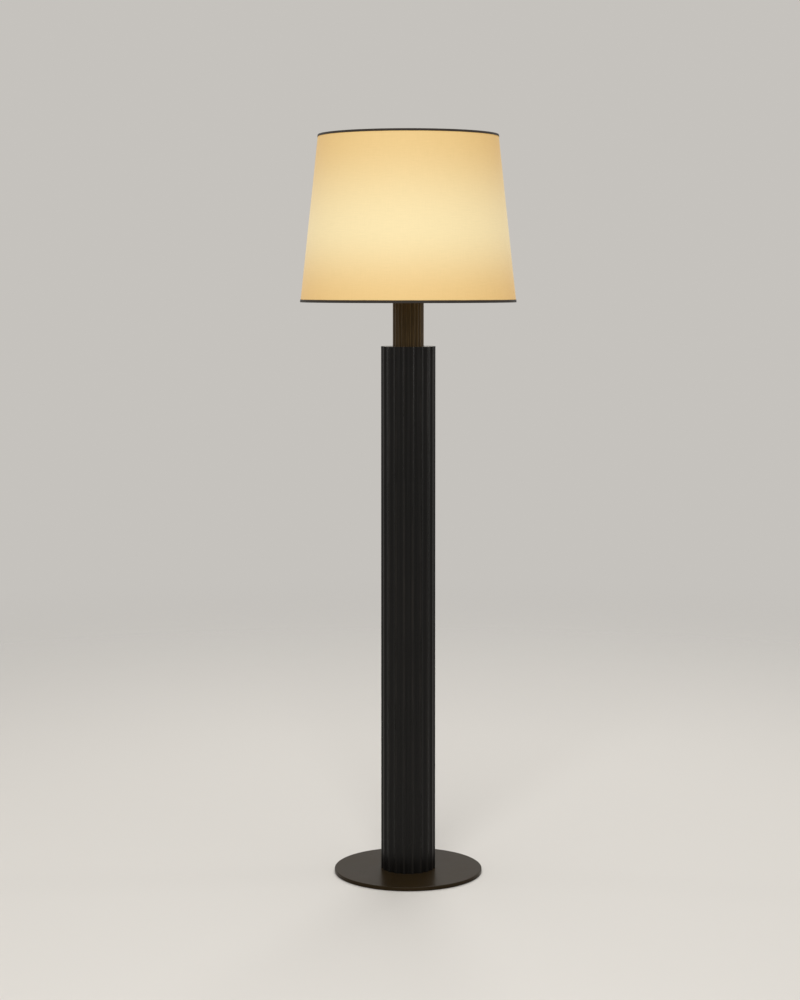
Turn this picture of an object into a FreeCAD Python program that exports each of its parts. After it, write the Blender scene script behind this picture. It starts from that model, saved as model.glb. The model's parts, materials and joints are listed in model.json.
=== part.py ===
import FreeCAD, Part
import math
import os

import Sketcher
from FreeCAD import Placement, Rotation, Vector

# Column floor lamp. Millimetres, +Z up, origin on the floor at the centre of the base.
# -Y is the front. A slender fluted column slides up and down in a stout one and carries the shade.

DIMENSIONS = {
    # base plate and floor pad
    "plate_dia": 300,
    "plate_thick": 7,
    "plate_round": 1.5,
    "pad_thick": 1.2,
    "pad_inset": 7,
    "pad_clear": 4,
    # foot hub inside the lower column, and its screws
    "hub_height": 28,
    "hub_wall": 24,
    "hub_chamfer": 1.5,
    "seat_gap": 0.05,
    "hub_screw_dia": 6,
    "hub_screw_head": 12,
    "hub_screw_grip": 16,
    "hub_screw_socket": 4,
    "hub_screw_socket_depth": 2,
    "screw_count": 3,
    # lower column
    "column_dia": 111,
    "column_length": 1065,
    "column_wall": 2.5,
    "column_flutes": 20,
    "column_flute_depth": 3,
    "column_land": 2.6,
    # lock screws at both ends of the lower column
    "lock_count": 3,
    "lock_dia": 5,
    "lock_grip": 8,
    "lock_inset": 14,
    "lock_socket": 2.5,
    # grommet for the supply lead
    "cord_rise": 46,
    "cord_bore": 7.4,
    "grommet_neck": 12,
    "grommet_flange": 1.6,
    "grommet_overlap": 2,
    "grommet_bevel": 0.8,
    "spot_wall": 2,
    # top disc of the lower column
    "cap_height": 30,
    "cap_lip": 3,
    "cap_chamfer": 0.8,
    "lip_gap": 0.4,
    # guide bush
    "bush_wall": 5.5,
    "bush_gap": 0.2,
    "bush_flange_thick": 5,
    "bush_flange_clear": 3,
    "bush_screw_dia": 4,
    "bush_screw_grip": 12,
    "bush_screw_head": 7.6,
    "bush_screw_head_height": 2.6,
    "bush_screw_socket": 2.5,
    "bush_screw_socket_depth": 1.5,
    # upper column
    "tube_dia": 63,
    "tube_wall": 2.3,
    "tube_flutes": 24,
    "tube_flute_depth": 1.2,
    "tube_land": 1.4,
    "travel_up": 300,
    "travel_down": 103,
    "stop_gap": 0.5,
    # slide plug, glide ring and stop sleeve at its lower end
    "plug_thick": 24,
    "plug_gap": 2,
    "plug_spigot": 22,
    "plug_hole": 20,
    "glide_height": 14,
    "glide_depth": 4,
    "glide_gap": 0.1,
    "glide_split": 3,
    "sleeve_length": 60,
    "sleeve_gap": 0.3,
    "sleeve_wall": 4.2,
    "tube_lock_dia": 4,
    "tube_lock_grip": 7,
    "tube_lock_inset": 10,
    "tube_lock_socket": 2,
    # end cap, nipple and nuts at its upper end
    "end_cap_overhang": 3.5,
    "end_cap_flange": 4,
    "end_cap_chamfer": 1,
    "end_cap_web": 3,
    "end_cap_spigot": 16,
    "end_cap_spigot_wall": 8,
    "nipple_dia": 10,
    "nipple_bore": 7,
    "nipple_reach": 8,
    "nut_flats": 17,
    "nut_thick": 4,
    # lampholder
    "holder_dia": 40,
    "holder_wall": 1.2,
    "neck_dia": 15,
    "neck_height": 8,
    "dome_height": 7,
    "skirt_height": 20,
    "shell_height": 33,
    "shell_spigot": 6,
    "mouth_lip": 3,
    "core_height": 24,
    "core_foot": 4,
    "core_foot_dia": 4,
    "core_foot_inset": 4,
    "core_feet": 3,
    "lead_hole_dia": 3.5,
    "lead_hole_offset": 7,
    "sleeve_dia": 28.6,
    "sleeve_metal": 0.6,
    "sleeve_height": 23,
    "sleeve_foot": 1.8,
    "liner_thick": 1.5,
    "contact_dia": 8,
    "contact_height": 2.5,
    # turn switch
    "spindle_dia": 4,
    "spindle_depth": 9,
    "spindle_gap": 0.1,
    "spindle_rise": 6,
    "knob_dia": 12,
    "knob_length": 11,
    "knob_gap": 1.5,
    "knob_seat": 5,
    "knob_grips": 12,
    "knob_grip_depth": 0.7,
    # shade rings and wire carrier
    "ring_dia": 52,
    "ring_thick": 7,
    "ring_notches": 24,
    "ring_notch_dia": 3,
    "fitter_rise": 13,
    "fitter_dia": 64,
    "fitter_thick": 2,
    "arm_count": 3,
    "arm_dia": 4,
    "arm_level": 22,
    "arm_bend": 40,
    "wire_dia": 4,
    "wire_gap": 0.1,
    # shade
    "shade_recess": 70,
    "shade_height": 336,
    "shade_bottom_dia": 436,
    "shade_top_dia": 364,
    "cover_thick": 0.9,
    "liner_sheet": 0.5,
    "tape_thick": 0.6,
    "top_tape": 4,
    "bottom_tape": 5,
    # bulb
    "bulb_dia": 60,
    "bulb_glass": 1,
    "bulb_length": 108,
    "bulb_neck_dia": 27,
    "bulb_neck_rise": 2,
    "bulb_rim_gap": 1,
    "bulb_rim_wall": 0.5,
    "bulb_cap_dia": 26,
    "bulb_cap_height": 22,
    "bulb_thread_depth": 0.8,
    "bulb_threads": 4,
    "bulb_insulator": 4.5,
    "bulb_insulator_dia": 11,
    "bulb_contact_dia": 9,
    "bulb_contact_height": 2,
}

doc = FreeCAD.newDocument("column_floor_lamp")
sheet = doc.addObject("Spreadsheet::Sheet", "dims")
for row, (alias, number) in enumerate(DIMENSIONS.items(), 1):
    sheet.set(f"A{row}", alias)
    sheet.set(f"B{row}", str(number))
    sheet.setAlias(f"B{row}", alias)
doc.recompute()

# Sizes worked out from the driving dimensions. Each is an expression on the sheet.
PLATE_TOP = "(dims.pad_thick + dims.plate_thick)"
COLUMN_TOP = f"({PLATE_TOP} + dims.column_length)"
COLUMN_BORE = "(dims.column_dia - 2 * (dims.column_flute_depth + dims.column_wall))"
FLUTE_FLOOR = "(dims.column_dia / 2 - dims.column_flute_depth)"
SEAT_DIA = f"({COLUMN_BORE} - 2 * dims.seat_gap)"
HUB_BORE = f"({SEAT_DIA} - 2 * dims.hub_wall)"
HUB_SCREW_RADIUS = f"(({SEAT_DIA} - dims.hub_wall) / 2)"
LOCK_SEAT = f"({COLUMN_BORE} / 2 - dims.lock_grip)"
LOCK_LEVELS = ["dims.lock_inset", "dims.column_length - dims.lock_inset"]
LOCK_SWING = 180
SPOT_FACE = f"({COLUMN_BORE} / 2 + dims.spot_wall)"
GROMMET_DIA = "(dims.grommet_neck + 2 * dims.grommet_overlap)"

BUSH_DIA = "(dims.tube_dia + 2 * dims.bush_wall)"
BUSH_FLANGE_DIA = f"({COLUMN_BORE} - 2 * dims.bush_flange_clear)"
BUSH_SCREW_RADIUS = f"(({BUSH_DIA} + {BUSH_FLANGE_DIA}) / 4)"
CAP_BOTTOM = f"({COLUMN_TOP} - dims.cap_height)"
BUSH_BOTTOM = f"({CAP_BOTTOM} - dims.bush_flange_thick)"

TUBE_BORE = "(dims.tube_dia - 2 * (dims.tube_flute_depth + dims.tube_wall))"
TUBE_FLUTE_FLOOR = "(dims.tube_dia / 2 - dims.tube_flute_depth)"
TUBE_SEAT_DIA = f"({TUBE_BORE} - 2 * dims.seat_gap)"
TUBE_TOP = f"({COLUMN_TOP} + dims.travel_down + dims.stop_gap)"
SLEEVE_TOP = f"({BUSH_BOTTOM} - dims.travel_up - dims.stop_gap)"
TUBE_BOTTOM = f"({SLEEVE_TOP} - dims.sleeve_length)"
SLEEVE_BORE = "(dims.tube_dia + 2 * dims.sleeve_gap)"
TUBE_LOCK_SEAT = f"({TUBE_BORE} / 2 - dims.tube_lock_grip)"
TUBE_LOCK_LEVELS = ["dims.tube_lock_inset", f"{TUBE_TOP} - {TUBE_BOTTOM} - dims.tube_lock_inset"]
PLUG_DIA = f"({COLUMN_BORE} - 2 * dims.plug_gap)"
GLIDE_SEAT = f"({PLUG_DIA} - 2 * dims.glide_depth)"

END_CAP_TOP = f"({TUBE_TOP} + dims.end_cap_flange)"
WEB_BOTTOM = f"({TUBE_TOP} - dims.end_cap_web)"
HOLDER_BASE = f"({END_CAP_TOP} + dims.nut_thick)"
DOME_TOP = "(dims.neck_height + dims.dome_height)"
SKIRT_TOP = f"({DOME_TOP} + dims.skirt_height)"
SKIRT_BORE = "(dims.holder_dia - 2 * dims.holder_wall)"
SHELL_BORE = f"({SKIRT_BORE} - 2 * dims.seat_gap - 2 * dims.holder_wall)"
THREAD_DIA = "(dims.holder_dia - 2 * dims.seat_gap)"
CORE_BOTTOM = f"({DOME_TOP} + dims.core_foot)"
CORE_TOP = f"({CORE_BOTTOM} + dims.core_height)"
SPINDLE_LEVEL = f"({HOLDER_BASE} + {CORE_BOTTOM} + dims.spindle_rise)"
KNOB_FOOT = "(dims.holder_dia / 2 + dims.knob_gap)"

FITTER_BOTTOM = f"({HOLDER_BASE} + {SKIRT_TOP} + dims.fitter_rise)"
FITTER_TOP = f"({FITTER_BOTTOM} + dims.fitter_thick)"
SHADE_BOTTOM = f"({FITTER_BOTTOM} - dims.shade_recess)"
WALL_INSET = "(dims.cover_thick + dims.liner_sheet)"
WIRE_INSET = f"({WALL_INSET} + dims.wire_dia / 2 + dims.wire_gap)"
BOTTOM_WIRE_RISE = "(dims.wire_dia / 2 + dims.wire_gap)"
TOP_WIRE_RISE = f"(dims.shade_height - {BOTTOM_WIRE_RISE})"

BULB_FOOT = f"({HOLDER_BASE} + {CORE_TOP} + dims.contact_height)"
CAP_FOOT = "(dims.bulb_contact_height + dims.bulb_insulator)"
CAP_RIM = f"({CAP_FOOT} + dims.bulb_cap_height)"
NECK_LEVEL = f"({CAP_RIM} - dims.bulb_neck_rise)"

built = []


def size(expression):
    """The number that an expression on the sheet gives."""
    return float(sheet.evalExpression(str(expression)))


def node(label, rise="0", compound=False):
    """A new body that stands at a height above the floor and is written out under its label."""
    body = doc.addObject("PartDesign::Body", label)
    body.Label = label
    body.AllowCompound = compound
    body.setExpression("Placement.Base.z", rise)
    built.append(body)
    return body


def origin_feature(body, role):
    return next(feature for feature in body.Origin.OriginFeatures if feature.Role == role)


def sketch(body, name, role="XY_Plane", lift="0"):
    """A sketch on one of the body's own planes, moved along the plane's normal by lift."""
    drawn = body.newObject("Sketcher::SketchObject", name)
    drawn.AttachmentSupport = [(origin_feature(body, role), "")]
    drawn.MapMode = "FlatFace"
    drawn.setExpression("AttachmentOffset.Base.z", lift)
    return drawn


def dimension(drawn, kind, places, expression):
    index = drawn.addConstraint(Sketcher.Constraint(kind, *places, size(expression)))
    drawn.setExpression(f"Constraints[{index}]", expression)


def locate(drawn, geometry, point, x, y):
    """Ties a point to x and y. Zero puts it on the axis and None leaves it free."""
    for kind, axis, where in (("DistanceX", -2, x), ("DistanceY", -1, y)):
        if where == "0":
            drawn.addConstraint(Sketcher.Constraint("PointOnObject", geometry, point, axis))
        elif where is not None:
            dimension(drawn, kind, (-1, 1, geometry, point), where)


def circle(drawn, diameter, x="0", y="0"):
    shape = Part.Circle(Vector(size(x), size(y), 0), Vector(0, 0, 1), size(diameter) / 2)
    index = drawn.addGeometry(shape, False)
    dimension(drawn, "Diameter", (index,), diameter)
    locate(drawn, index, 3, x, y)


def spread(drawn, diameter, radius):
    """Circles spaced evenly on a ring, the first to the rear."""
    for index in range(int(size("dims.screw_count"))):
        turn = f"(90 deg + {index} * 360 deg / dims.screw_count)"
        circle(drawn, diameter, f"{radius} * cos{turn}", f"{radius} * sin{turn}")


def outline(drawn, corners):
    """A closed outline of straight lines through corners given as pairs of expressions."""
    points = [Vector(size(x), size(y), 0) for x, y in corners]
    following = points[1:] + points[:1]
    lines = [drawn.addGeometry(Part.LineSegment(a, b), False) for a, b in zip(points, following)]
    for line, after in zip(lines, lines[1:] + lines[:1]):
        drawn.addConstraint(Sketcher.Constraint("Coincident", line, 2, after, 1))
    for line, (x, y) in zip(lines, corners):
        locate(drawn, line, 1, x, y)


def hexagon(drawn, flats, x="0", y="0"):
    corners = []
    for turn in range(0, 360, 60):
        reach = f"({flats}) / sqrt(3)"
        corners.append((f"{x} + {reach} * cos({turn} deg)", f"{y} + {reach} * sin({turn} deg)"))
    outline(drawn, corners)


def feature(body, kind, name, profile, reverse=False):
    made = body.newObject(f"PartDesign::{kind}", name)
    made.Profile = profile
    made.Reversed = reverse
    return made


def pad(body, name, profile, length, reverse=False, middle=False):
    made = feature(body, "Pad", name, profile, reverse)
    made.SideType = "Symmetric" if middle else "One side"
    made.setExpression("Length", length)
    return made


def pocket(body, name, profile, depth=None, reverse=False):
    """Cuts against the sketch's normal, or along it when reversed. Without a depth it cuts right through."""
    made = feature(body, "Pocket", name, profile, reverse)
    if depth is None:
        made.Type = "ThroughAll"
    else:
        made.setExpression("Length", depth)
    return made


def turned(body, name, corners):
    """A revolved piece, from the half profile in radius and height."""
    drawn = sketch(body, f"{name}_profile", "XZ_Plane")
    outline(drawn, corners)
    made = feature(body, "Revolution", name, drawn)
    made.ReferenceAxis = (drawn, ["V_Axis"])
    made.Angle = 360
    return made


def around(body, name, originals, count, angle=360):
    """Repeats features round the body's upright axis."""
    made = body.newObject("PartDesign::PolarPattern", name)
    made.Originals = originals
    made.Axis = (origin_feature(body, "Z_Axis"), [""])
    made.Angle = angle
    made.setExpression("Occurrences", count)
    body.Tip = made
    return made


def tube(body, name, outer, inner, length, lift="0"):
    drawn = sketch(body, f"{name}_section", lift=lift)
    circle(drawn, outer)
    circle(drawn, inner)
    return pad(body, name, drawn, length)


def ring_edges(body, radius, height):
    """Names of the circular edges of that radius at that height on the body so far."""
    doc.recompute()
    names = []
    for index, edge in enumerate(body.Tip.Shape.Edges, 1):
        curve = edge.Curve
        if not isinstance(curve, Part.Circle):
            continue
        if abs(curve.Radius - size(radius)) < 1e-4 and abs(curve.Center.z - size(height)) < 1e-4:
            names.append(f"Edge{index}")
    return names


def dress(body, kind, name, value, radius, height):
    """A Fillet or a Chamfer on the round edges of a radius at a height."""
    base = body.Tip
    names = ring_edges(body, radius, height)
    made = body.newObject(f"PartDesign::{kind}", name)
    made.Base = (base, names)
    made.setExpression("Radius" if kind == "Fillet" else "Size", value)
    body.Tip = made
    return made


# ---------------------------------------------------------------------------------------------
# Flutes. A flute is cut by an arc that passes through the edges of two lands and its own floor.


def flute_arc(diameter, flutes, depth, land):
    """How far from the column's axis a flute's arc is centred, and its radius."""
    outer = f"({diameter} / 2)"
    floor = f"({outer} - {depth})"
    half_turn = f"(180 deg / {flutes} - {land} / {diameter} * 180 deg / pi)"
    centre = f"(({outer}^2 - {floor}^2) / (2 * ({outer} * cos({half_turn}) - {floor})))"
    return centre, f"({centre} - {floor})"


COLUMN_FLUTE = flute_arc(
    "dims.column_dia", "dims.column_flutes", "dims.column_flute_depth", "dims.column_land"
)
TUBE_FLUTE = flute_arc("dims.tube_dia", "dims.tube_flutes", "dims.tube_flute_depth", "dims.tube_land")


def fluted_column(label, rise, length, diameter, bore, flutes, flute):
    """An extruded column with a round bore and hollow flutes, one of them facing each way along X."""
    body = node(label, rise)
    tube(body, "blank", diameter, bore, length)
    centre, radius = flute
    drawn = sketch(body, "flute_section")
    circle(drawn, f"2 * {radius}", x=centre)
    cut = pocket(body, "flute", drawn, reverse=True)
    around(body, "flutes", [cut], flutes)
    return body


def scalloped_bore(body, name, gap, lift, length):
    """Teeth inside a round hole that reach into the flutes of the upper column, a gap away from them."""
    centre, radius = TUBE_FLUTE
    tooth_radius = f"({radius} - {gap})"
    root = f"(dims.tube_dia / 2 + 2 * {gap})"
    half_width = f"sqrt({tooth_radius}^2 - ({centre} - {root})^2)"
    drawn = sketch(body, f"{name}_section", lift=lift)
    swing = math.acos((size(centre) - size(root)) / size(tooth_radius))
    arc = drawn.addGeometry(
        Part.ArcOfCircle(
            Part.Circle(Vector(size(centre), 0, 0), Vector(0, 0, 1), size(tooth_radius)),
            math.pi - swing,
            math.pi + swing,
        ),
        False,
    )
    top = Vector(size(root), size(half_width), 0)
    bottom = Vector(size(root), -size(half_width), 0)
    line = drawn.addGeometry(Part.LineSegment(bottom, top), False)
    drawn.addConstraint(Sketcher.Constraint("Coincident", arc, 2, line, 1))
    drawn.addConstraint(Sketcher.Constraint("Coincident", line, 2, arc, 1))
    drawn.addConstraint(Sketcher.Constraint("Vertical", line))
    dimension(drawn, "Radius", (arc,), tooth_radius)
    locate(drawn, arc, 3, centre, "0")
    dimension(drawn, "DistanceX", (-1, 1, line, 1), root)
    tooth = pad(body, name, drawn, length)
    around(body, f"{name}s", [tooth], "dims.tube_flutes")


def radial_holes(body, name, heights, diameter, count, angle=360):
    """Round holes through one wall at each height, the first along +X, repeated round the axis."""
    drawn = sketch(body, f"{name}_centres", "YZ_Plane")
    for height in heights:
        circle(drawn, diameter, y=height)
    cut = pocket(body, name, drawn, reverse=True)
    around(body, f"{name}_round", [cut], count, angle)


def lock_screws(label, rise, heights, seat, floor, diameter, socket, count, angle=360):
    """Headless screws that lie radially, each with a hexagon socket in its outer end."""
    body = node(label, rise, compound=True)
    shank = sketch(body, "shank_section", "YZ_Plane", lift=seat)
    recess = sketch(body, "socket_section", "YZ_Plane", lift=floor)
    for height in heights:
        circle(shank, f"{diameter} - 2 * dims.seat_gap", y=height)
        hexagon(recess, socket, y=height)
    grub = pad(body, "shank", shank, f"{floor} - {seat}")
    drive = pocket(body, "socket", recess, socket)
    around(body, "set", [grub, drive], count, angle)


# ---------------------------------------------------------------------------------------------
# Base


def base_plate():
    body = node("base_plate", "dims.pad_thick")
    drawn = sketch(body, "disc_section")
    circle(drawn, "dims.plate_dia")
    pad(body, "disc", drawn, "dims.plate_thick")
    dress(body, "Fillet", "soft_edge", "dims.plate_round", "dims.plate_dia / 2", "dims.plate_thick")
    centres = sketch(body, "screw_centres")
    spread(centres, "dims.hub_screw_dia", HUB_SCREW_RADIUS)
    doc.recompute()
    hole = feature(body, "Hole", "screw_holes", centres, reverse=True)
    hole.DepthType = "ThroughAll"
    hole.Threaded = False
    hole.setExpression("Diameter", "dims.hub_screw_dia + 2 * dims.seat_gap")
    hole.HoleCutType = "Countersink"
    hole.setExpression("HoleCutDiameter", "dims.hub_screw_head + 2 * dims.seat_gap")
    hole.HoleCutCountersinkAngle = 90


def floor_pad():
    body = node("floor_pad")
    opening = f"2 * ({HUB_SCREW_RADIUS} + dims.pad_clear) + dims.hub_screw_head"
    tube(body, "ring", "dims.plate_dia - 2 * dims.pad_inset", opening, "dims.pad_thick")


def foot_hub():
    body = node("foot_hub", PLATE_TOP)
    tube(body, "boss", SEAT_DIA, HUB_BORE, "dims.hub_height")
    dress(body, "Chamfer", "lead_in", "dims.hub_chamfer", f"{SEAT_DIA} / 2", "dims.hub_height")
    tapped = sketch(body, "tapped_centres")
    spread(tapped, "dims.hub_screw_dia", HUB_SCREW_RADIUS)
    pocket(body, "tapped_holes", tapped, "dims.hub_screw_grip", reverse=True)
    levels = ["dims.lock_inset"]
    radial_holes(body, "lock_holes", levels, "dims.lock_dia", "dims.lock_count", LOCK_SWING)


def hub_screws():
    """Countersunk screws that come up through the base plate into the foot hub."""
    body = node("hub_screws", "dims.pad_thick", compound=True)
    shank_dia = "(dims.hub_screw_dia - 2 * dims.seat_gap)"
    head = f"(dims.hub_screw_head - {shank_dia}) / 2"
    length = "dims.plate_thick + dims.hub_screw_grip - dims.seat_gap"
    disc = sketch(body, "head_section")
    cone_top = sketch(body, "neck_section", lift=head)
    shank = sketch(body, "shank_section")
    recess = sketch(body, "socket_section")
    circle(disc, "dims.hub_screw_head", x=HUB_SCREW_RADIUS)
    circle(cone_top, shank_dia, x=HUB_SCREW_RADIUS)
    circle(shank, shank_dia, x=HUB_SCREW_RADIUS)
    hexagon(recess, "dims.hub_screw_socket", x=HUB_SCREW_RADIUS)
    cone = feature(body, "AdditiveLoft", "head", disc)
    cone.Sections = [cone_top]
    rod = pad(body, "shank", shank, length)
    drive = pocket(body, "socket", recess, "dims.hub_screw_socket_depth", reverse=True)
    body.setExpression("Placement.Rotation.Angle", "90 deg")
    around(body, "set", [cone, rod, drive], "dims.screw_count")


# ---------------------------------------------------------------------------------------------
# Lower column


def lower_column():
    body = fluted_column(
        "lower_column",
        PLATE_TOP,
        "dims.column_length",
        "dims.column_dia",
        COLUMN_BORE,
        "dims.column_flutes",
        COLUMN_FLUTE,
    )
    radial_holes(body, "lock_holes", LOCK_LEVELS, "dims.lock_dia", "dims.lock_count", LOCK_SWING)
    spot = sketch(body, "spot_section", "XZ_Plane", lift=f"-{SPOT_FACE}")
    circle(spot, f"{GROMMET_DIA} + 2 * dims.seat_gap", y="dims.cord_rise")
    pocket(body, "spot_face", spot)
    inlet = sketch(body, "inlet_section", "XZ_Plane")
    circle(inlet, "dims.grommet_neck + 2 * dims.seat_gap", y="dims.cord_rise")
    pocket(body, "cord_inlet", inlet)


def column_screws():
    sizes = ("dims.lock_dia", "dims.lock_socket", "dims.lock_count", LOCK_SWING)
    lock_screws("column_screws", PLATE_TOP, LOCK_LEVELS, LOCK_SEAT, FLUTE_FLOOR, *sizes)


def cord_grommet():
    """A snap-in rubber grommet, its flange on the spot face at the rear of the lower column."""
    body = node("cord_grommet", f"{PLATE_TOP} + dims.cord_rise")
    body.Placement = Placement(Vector(), Rotation(Vector(1, 0, 0), -90))
    body.setExpression("Placement.Base.y", SPOT_FACE)
    bore = "dims.cord_bore / 2"
    neck = "dims.grommet_neck / 2"
    rim = f"{GROMMET_DIA} / 2"
    corner_gap = f"({COLUMN_BORE} / 2 - sqrt(({COLUMN_BORE} / 2)^2 - ({rim})^2))"
    wall = f"(dims.spot_wall + {corner_gap})"
    turned(
        body,
        "grommet",
        [
            (bore, f"-{wall} - dims.grommet_flange"),
            (rim, f"-{wall} - dims.grommet_flange"),
            (rim, f"-{wall}"),
            (neck, f"-{wall}"),
            (neck, "0"),
            (rim, "0"),
            (rim, "dims.grommet_flange - dims.grommet_bevel"),
            (f"{rim} - dims.grommet_bevel", "dims.grommet_flange"),
            (bore, "dims.grommet_flange"),
        ],
    )


def column_cap():
    """The top disc: a ring in the mouth of the lower column, with a scalloped hole in its lip."""
    body = node("column_cap", CAP_BOTTOM)
    lip_bottom = "dims.cap_height - dims.cap_lip"
    seat = f"{BUSH_DIA} / 2 + dims.seat_gap"
    hole = "dims.tube_dia / 2 + dims.lip_gap"
    turned(
        body,
        "ring",
        [
            (seat, "0"),
            (f"{SEAT_DIA} / 2 - dims.cap_chamfer", "0"),
            (f"{SEAT_DIA} / 2", "dims.cap_chamfer"),
            (f"{SEAT_DIA} / 2", "dims.cap_height"),
            (hole, "dims.cap_height"),
            (hole, lip_bottom),
            (seat, lip_bottom),
        ],
    )
    scalloped_bore(body, "scallop", "dims.lip_gap", lip_bottom, "dims.cap_lip")
    tapped = sketch(body, "tapped_centres")
    spread(tapped, "dims.bush_screw_dia", BUSH_SCREW_RADIUS)
    pocket(body, "tapped_holes", tapped, "dims.bush_screw_grip", reverse=True)
    levels = ["dims.cap_height - dims.lock_inset"]
    radial_holes(body, "lock_holes", levels, "dims.lock_dia", "dims.lock_count", LOCK_SWING)


def guide_bush():
    """A flanged plastic bush whose bore follows the flutes, so that the upper column can't turn."""
    body = node("guide_bush", BUSH_BOTTOM)
    bore = "dims.tube_dia + 2 * dims.bush_gap"
    length = "dims.bush_flange_thick + dims.cap_height - dims.cap_lip"
    tube(body, "flange", BUSH_FLANGE_DIA, bore, "dims.bush_flange_thick")
    tube(body, "barrel", BUSH_DIA, bore, length)
    scalloped_bore(body, "scallop", "dims.bush_gap", "0", length)
    centres = sketch(body, "screw_centres")
    spread(centres, "dims.bush_screw_dia + 2 * dims.seat_gap", BUSH_SCREW_RADIUS)
    pocket(body, "screw_holes", centres, reverse=True)


def bush_screws():
    body = node("bush_screws", BUSH_BOTTOM, compound=True)
    head = sketch(body, "head_section")
    shank = sketch(body, "shank_section")
    recess = sketch(body, "socket_section", lift="-dims.bush_screw_head_height")
    circle(head, "dims.bush_screw_head", x=BUSH_SCREW_RADIUS)
    circle(shank, "dims.bush_screw_dia - 2 * dims.seat_gap", x=BUSH_SCREW_RADIUS)
    hexagon(recess, "dims.bush_screw_socket", x=BUSH_SCREW_RADIUS)
    cheese = pad(body, "head", head, "dims.bush_screw_head_height", reverse=True)
    length = "dims.bush_flange_thick + dims.bush_screw_grip - dims.seat_gap"
    rod = pad(body, "shank", shank, length)
    drive = pocket(body, "socket", recess, "dims.bush_screw_socket_depth", reverse=True)
    body.setExpression("Placement.Rotation.Angle", "90 deg")
    around(body, "set", [cheese, rod, drive], "dims.screw_count")


# ---------------------------------------------------------------------------------------------
# Upper column and what slides with it


def upper_column():
    body = fluted_column(
        "upper_column",
        TUBE_BOTTOM,
        f"{TUBE_TOP} - {TUBE_BOTTOM}",
        "dims.tube_dia",
        TUBE_BORE,
        "dims.tube_flutes",
        TUBE_FLUTE,
    )
    radial_holes(body, "lock_holes", TUBE_LOCK_LEVELS, "dims.tube_lock_dia", "dims.lock_count")


def tube_screws():
    sizes = ("dims.tube_lock_dia", "dims.tube_lock_socket", "dims.lock_count")
    lock_screws("tube_screws", TUBE_BOTTOM, TUBE_LOCK_LEVELS, TUBE_LOCK_SEAT, TUBE_FLUTE_FLOOR, *sizes)


def slide_plug():
    """Closes the lower end of the upper column and carries the glide ring."""
    body = node("slide_plug", f"{TUBE_BOTTOM} - dims.plug_thick")
    rim = f"{PLUG_DIA} / 2"
    groove = f"{GLIDE_SEAT} / 2"
    low = "(dims.plug_thick - dims.glide_height) / 2"
    high = "(dims.plug_thick + dims.glide_height) / 2"
    spigot = f"{TUBE_SEAT_DIA} / 2"
    spigot_top = "dims.plug_thick + dims.plug_spigot"
    turned(
        body,
        "plug",
        [
            ("dims.plug_hole / 2", "0"),
            (rim, "0"),
            (rim, low),
            (groove, low),
            (groove, high),
            (rim, high),
            (rim, "dims.plug_thick"),
            (spigot, "dims.plug_thick"),
            (spigot, spigot_top),
            ("dims.plug_hole / 2", spigot_top),
        ],
    )
    levels = ["dims.plug_thick + dims.tube_lock_inset"]
    radial_holes(body, "lock_holes", levels, "dims.tube_lock_dia", "dims.lock_count")


def glide_ring():
    """A split plastic ring that rubs in the bore of the lower column and holds the height."""
    rise = f"{TUBE_BOTTOM} - (dims.plug_thick + dims.glide_height) / 2"
    body = node("glide_ring", f"{rise} + dims.seat_gap")
    outer = f"{COLUMN_BORE} - 2 * dims.glide_gap"
    inner = f"{GLIDE_SEAT} + 2 * dims.seat_gap"
    tube(body, "ring", outer, inner, "dims.glide_height - 2 * dims.seat_gap")
    inside = f"{GLIDE_SEAT} / 2 - dims.glide_depth"
    split = sketch(body, "split_section")
    outline(
        split,
        [
            ("-dims.glide_split / 2", inside),
            ("dims.glide_split / 2", inside),
            ("dims.glide_split / 2", f"{COLUMN_BORE} / 2"),
            ("-dims.glide_split / 2", f"{COLUMN_BORE} / 2"),
        ],
    )
    pocket(body, "split", split, reverse=True)


def stop_sleeve():
    """A sleeve on the slide plug that meets the guide bush when the lamp is at its tallest."""
    body = node("stop_sleeve", TUBE_BOTTOM)
    tube(body, "sleeve", f"{SLEEVE_BORE} + 2 * dims.sleeve_wall", SLEEVE_BORE, "dims.sleeve_length")


def end_cap():
    """Closes the upper end of the upper column. Its flange meets the top disc at the lowest height."""
    body = node("end_cap", f"{TUBE_TOP} - dims.end_cap_spigot")
    hole = "dims.nipple_dia / 2 + dims.seat_gap"
    flange = "dims.tube_dia / 2 + dims.end_cap_overhang"
    spigot = f"{TUBE_SEAT_DIA} / 2"
    inner = f"{spigot} - dims.end_cap_spigot_wall"
    web = "dims.end_cap_spigot - dims.end_cap_web"
    top = "dims.end_cap_spigot + dims.end_cap_flange"
    turned(
        body,
        "cap",
        [
            (hole, web),
            (inner, web),
            (inner, "0"),
            (spigot, "0"),
            (spigot, "dims.end_cap_spigot"),
            (flange, "dims.end_cap_spigot"),
            (flange, f"{top} - dims.end_cap_chamfer"),
            (f"{flange} - dims.end_cap_chamfer", top),
            (hole, top),
        ],
    )
    levels = ["dims.end_cap_spigot - dims.tube_lock_inset"]
    radial_holes(body, "lock_holes", levels, "dims.tube_lock_dia", "dims.lock_count")


def nipple():
    """A threaded tube that ties the lampholder to the end cap and lets the lead through."""
    body = node("nipple", f"{WEB_BOTTOM} - dims.nut_thick - dims.end_cap_web")
    length = f"{HOLDER_BASE} + dims.nipple_reach - ({WEB_BOTTOM} - dims.nut_thick - dims.end_cap_web)"
    tube(body, "threaded_tube", "dims.nipple_dia", "dims.nipple_bore", length)


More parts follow.
